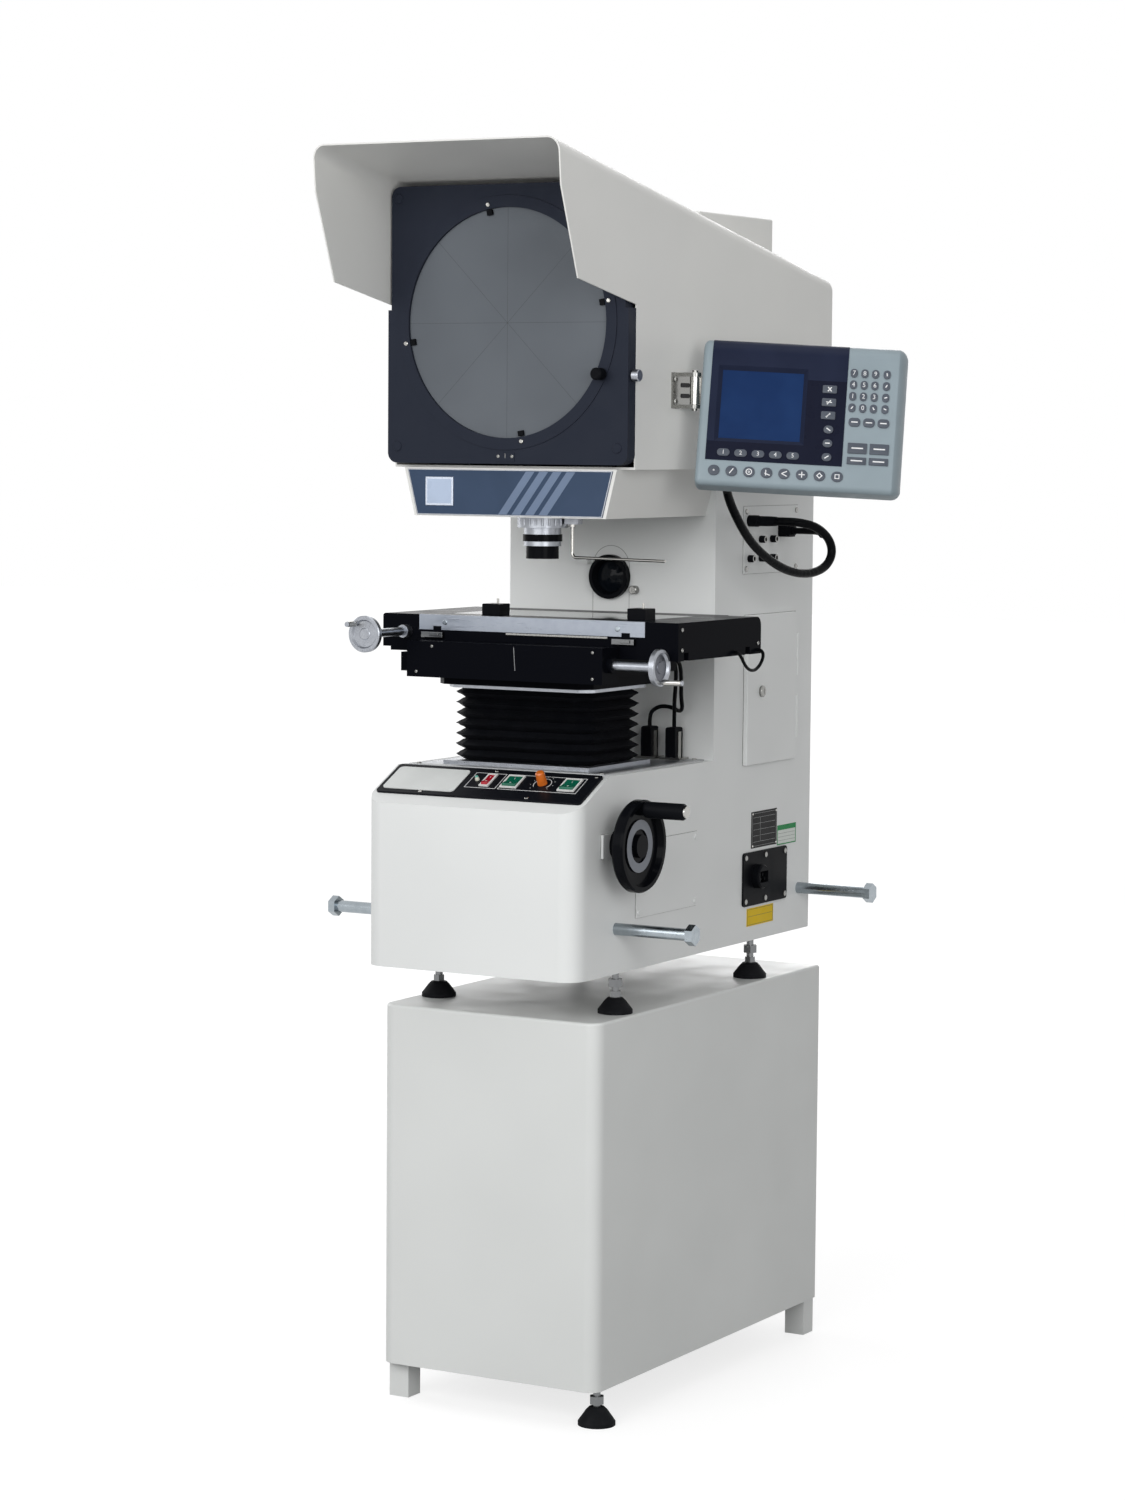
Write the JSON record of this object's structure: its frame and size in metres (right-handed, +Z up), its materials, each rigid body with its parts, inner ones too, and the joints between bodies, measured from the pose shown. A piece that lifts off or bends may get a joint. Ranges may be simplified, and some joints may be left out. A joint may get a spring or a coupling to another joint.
{
  "type": "profile projector",
  "caption": "Upright optical comparator with hooded round ground-glass screen, XY stage on a bellows lift, handwheels and a swivelling readout, on a sheet-metal stand.",
  "frame": {"origin": "on the floor under the middle of the stand footprint", "axes": "+Z up, front towards -Y, viewer right is +X"},
  "size_m": [0.7507, 0.8007, 1.668],
  "materials": {
    "white_paint": "semi-gloss powder coat",
    "stand_paint": "semi-gloss powder coat",
    "navy_paint": "fine satin",
    "black_paint": "gloss",
    "black_casting": "gloss black enamel",
    "silver": "clear anodised",
    "grey_plate": "satin",
    "steel": "machined",
    "zinc": "zinc plated",
    "bright": "polished",
    "rubber": "matt",
    "cloth": "coated bellows cloth",
    "black_plastic": "fine texture",
    "gloss_black": "smooth",
    "red": "lamp-lit",
    "green": "lamp-lit",
    "orange": "translucent",
    "cream": "satin",
    "readout_grey": "fine texture",
    "overlay": "printed film",
    "ground_glass": "ground",
    "clear_glass": "polished",
    "mirror": "front coated",
    "lamp_black": "matt black"
  },
  "bodies": {
    "root": {"stand_cabinet": "stand_paint", "stand_frame": "stand_paint", "stand_rear_panel": "stand_paint", "foot_studs": "zinc", "foot_cups": "rubber", "base_housing": "white_paint", "base_plate": "steel", "base_top_plates": "grey_plate", "lifting_bolts": "zinc", "control_panel": "black_paint", "label_plates": "cream", "panel_fittings": "cream", "access_covers": "white_paint", "connector_panel": "white_paint", "power_inlet": "black_plastic", "head_casing": "white_paint", "mirror_box_cover": "white_paint", "chin_housing": "white_paint", "screen_frame": "navy_paint", "lens_mount": "silver", "projection_lens": "silver", "mirrors": "mirror", "lamp_house": "lamp_black", "power_supply": "silver", "bellows": "cloth", "lift_guide": "steel", "readout_bracket": "bright", "cable_plugs": "black_plastic", "readout_cable": "rubber", "stage_cables": "rubber"},
    "ring": {"screen_ring": "navy_paint", "screen_glass": "ground_glass", "ring_fittings": "black_plastic"},
    "ring_lock": {"ring_lock_knob": "silver"},
    "lift": {"lift_column": "steel", "stage_base": "black_casting"},
    "screw": {"lift_screw": "steel"},
    "focus_wheel": {"z_handwheel": "gloss_black"},
    "focus_grip": {"z_wheel_grip": "black_plastic"},
    "carriage": {"x_carriage": "black_casting", "reader_cable": "rubber"},
    "x_wheel": {"x_handwheel": "silver"},
    "x_grip": {"x_wheel_grip": "bright"},
    "table": {"y_table": "silver", "stage_glass": "clear_glass", "stage_clamps": "black_paint"},
    "y_wheel": {"y_handwheel": "silver"},
    "y_grip": {"y_wheel_grip": "bright"},
    "readout": {"readout_housing": "readout_grey", "readout_panel": "overlay"},
    "door": {"column_door": "white_paint"},
    "latch": {"door_latch": "bright"},
    "main_switch": {"main_rocker": "red"},
    "contour_switch": {"contour_lamp_rocker": "green"},
    "surface_switch": {"surface_lamp_rocker": "green"},
    "dimmer": {"dimmer_knob": "orange"},
    "lamp": {"surface_lamp": "gloss_black"},
    "lamp_lock": {"lamp_lock_knob": "bright"},
    "rod": {"swing_rod": "silver"},
    "fan": {"fan_rotor": "black_plastic"}
  },
  "joints": [
    {"name": "ring_turn", "type": "hinge", "parent": "root", "child": "ring", "pos_m": [0, -0.285, 1.4445], "axis": [0, -1, 0], "continuous": true},
    {"name": "ring_lock_turn", "type": "hinge", "parent": "root", "child": "ring_lock", "pos_m": [0.185, -0.28, 1.376], "axis": [1, 0, 0], "range_deg": [0, 180]},
    {"name": "lift_travel", "type": "slide", "parent": "root", "child": "lift", "axis": [0, 0, 1], "range_m": [-0.05, 0.04], "deforming": ["bellows", "stage_cables"]},
    {"name": "screw_turn", "type": "hinge", "parent": "root", "child": "screw", "pos_m": [0, -0.2785, 0.68], "axis": [0, 0, 1], "range_deg": [-1205, 965]},
    {"name": "focus_wheel_turn", "type": "hinge", "parent": "root", "child": "focus_wheel", "pos_m": [0.18, -0.2785, 0.7685], "axis": [1, 0, 0], "range_deg": [-1205, 965]},
    {"name": "focus_grip_turn", "type": "hinge", "parent": "focus_wheel", "child": "focus_grip", "pos_m": [0.23, -0.2785, 0.8165], "axis": [1, 0, 0], "continuous": true},
    {"name": "x_travel", "type": "slide", "parent": "lift", "child": "carriage", "axis": [1, 0, 0], "range_m": [-0.12, 0.03]},
    {"name": "x_wheel_turn", "type": "hinge", "parent": "lift", "child": "x_wheel", "pos_m": [0.21, -0.3305, 1.005], "axis": [1, 0, 0], "range_deg": [-1730, 435]},
    {"name": "x_grip_turn", "type": "hinge", "parent": "x_wheel", "child": "x_grip", "pos_m": [0.27, -0.3305, 0.9864], "axis": [1, 0, 0], "continuous": true},
    {"name": "y_travel", "type": "slide", "parent": "carriage", "child": "table", "axis": [0, 1, 0], "range_m": [-0.025, 0.025]},
    {"name": "y_wheel_turn", "type": "hinge", "parent": "carriage", "child": "y_wheel", "pos_m": [-0.141, -0.35, 1.038], "axis": [0, 1, 0], "range_deg": [-905, 905]},
    {"name": "y_grip_turn", "type": "hinge", "parent": "y_wheel", "child": "y_grip", "pos_m": [-0.15415, -0.42, 1.05115], "axis": [0, 1, 0], "continuous": true},
    {"name": "readout_swivel", "type": "hinge", "parent": "root", "child": "readout", "pos_m": [0.203, -0.145, 1.3585], "axis": [0, 0, 1], "range_deg": [-40, 10], "deforming": ["readout_cable"]},
    {"name": "door_swing", "type": "hinge", "parent": "root", "child": "door", "pos_m": [0.1662, 0.239, 0.949], "axis": [0, 0, 1], "range_deg": [0, 110]},
    {"name": "latch_turn", "type": "hinge", "parent": "door", "child": "latch", "pos_m": [0.165, 0.1255, 0.946], "axis": [1, 0, 0], "range_deg": [0, 90]},
    {"name": "main_rocker_tilt", "type": "hinge", "parent": "root", "child": "main_switch", "pos_m": [-0.003, -0.32196, 0.84481], "axis": [1, 0, 0], "range_deg": [0, 16]},
    {"name": "contour_rocker_tilt", "type": "hinge", "parent": "root", "child": "contour_switch", "pos_m": [0.034, -0.32196, 0.84481], "axis": [1, 0, 0], "range_deg": [0, 16]},
    {"name": "surface_rocker_tilt", "type": "hinge", "parent": "root", "child": "surface_switch", "pos_m": [0.1205, -0.32196, 0.84481], "axis": [1, 0, 0], "range_deg": [0, 16]},
    {"name": "dimmer_turn", "type": "hinge", "parent": "root", "child": "dimmer", "pos_m": [0.079, -0.3251, 0.85106], "axis": [0, -0.4493, 0.8934], "range_deg": [0, 270]},
    {"name": "lamp_focus", "type": "slide", "parent": "root", "child": "lamp", "axis": [0, -1, 0], "range_m": [0, 0.015]},
    {"name": "lamp_lock_turn", "type": "hinge", "parent": "root", "child": "lamp_lock", "pos_m": [0.0386, -0.0085, 1.0876], "axis": [0, 1, 0], "range_deg": [0, 180]},
    {"name": "rod_swing", "type": "hinge", "parent": "root", "child": "rod", "pos_m": [0.045, -0.1905, 1.16], "axis": [0, 0, 1], "range_deg": [-60, 60]},
    {"name": "fan_spin", "type": "hinge", "parent": "root", "child": "fan", "pos_m": [-0.06, 0.28, 0.69], "axis": [0, 1, 0], "continuous": true}
  ],
  "couplings": [
    {"joint": "screw_turn", "follows": "lift_travel", "rad_per_m": 418.88},
    {"joint": "focus_wheel_turn", "follows": "lift_travel", "rad_per_m": 418.88},
    {"joint": "x_wheel_turn", "follows": "x_travel", "rad_per_m": 251.33},
    {"joint": "y_wheel_turn", "follows": "y_travel", "rad_per_m": 628.32}
  ]
}
